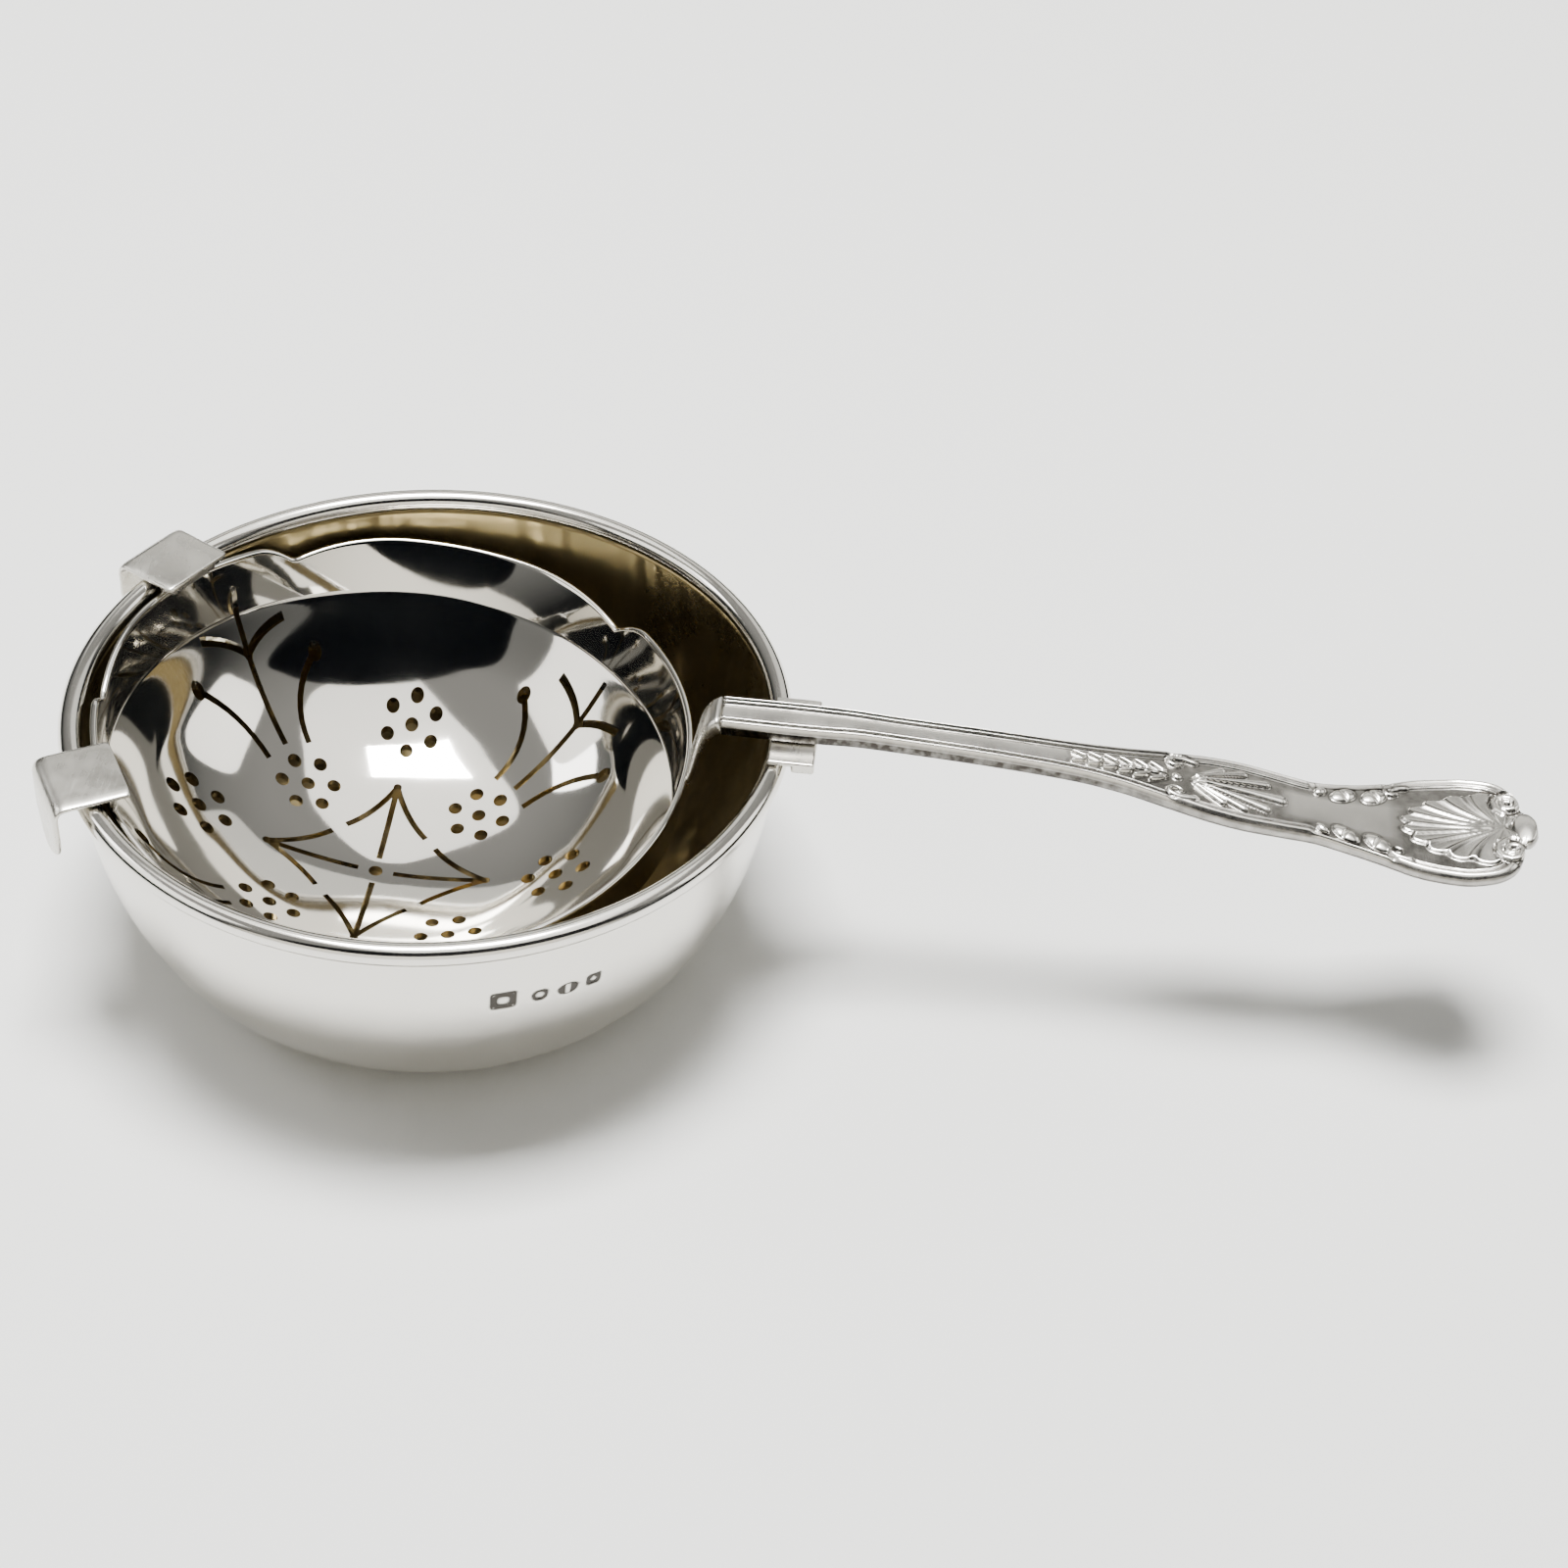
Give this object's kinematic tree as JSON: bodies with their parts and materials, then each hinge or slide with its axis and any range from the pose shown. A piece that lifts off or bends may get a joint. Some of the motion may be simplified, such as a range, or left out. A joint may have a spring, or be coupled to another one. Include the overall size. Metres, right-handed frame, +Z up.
{
  "type": "tea strainer with drip bowl",
  "caption": "Pierced round tea strainer with a long shaped handle and two rim hooks, resting in a deep wired drip bowl that it lifts out of.",
  "frame": {"origin": "middle of the drip bowl's foot, on the surface it stands on", "axes": "+Z up along the drip bowl's axis, +X along the strainer's handle"},
  "size_m": [0.1416, 0.07, 0.0301],
  "materials": {
    "silver": "polished sterling silver, lightly worn, with a gilt wash inside the drip bowl"
  },
  "bodies": {
    "drip_stand": {"drip_bowl": "silver", "drip_bowl_rim": "silver"},
    "strainer": {"strainer_bowl": "silver", "rear_hook": "silver", "front_hook": "silver", "handle": "silver", "handle_tongue": "silver", "handle_rest": "silver"}
  },
  "joints": [
    {"name": "strainer_lift", "type": "slide", "parent": "drip_stand", "child": "strainer", "axis": [0, 0, 1], "range_m": [0, 0.06]}
  ]
}
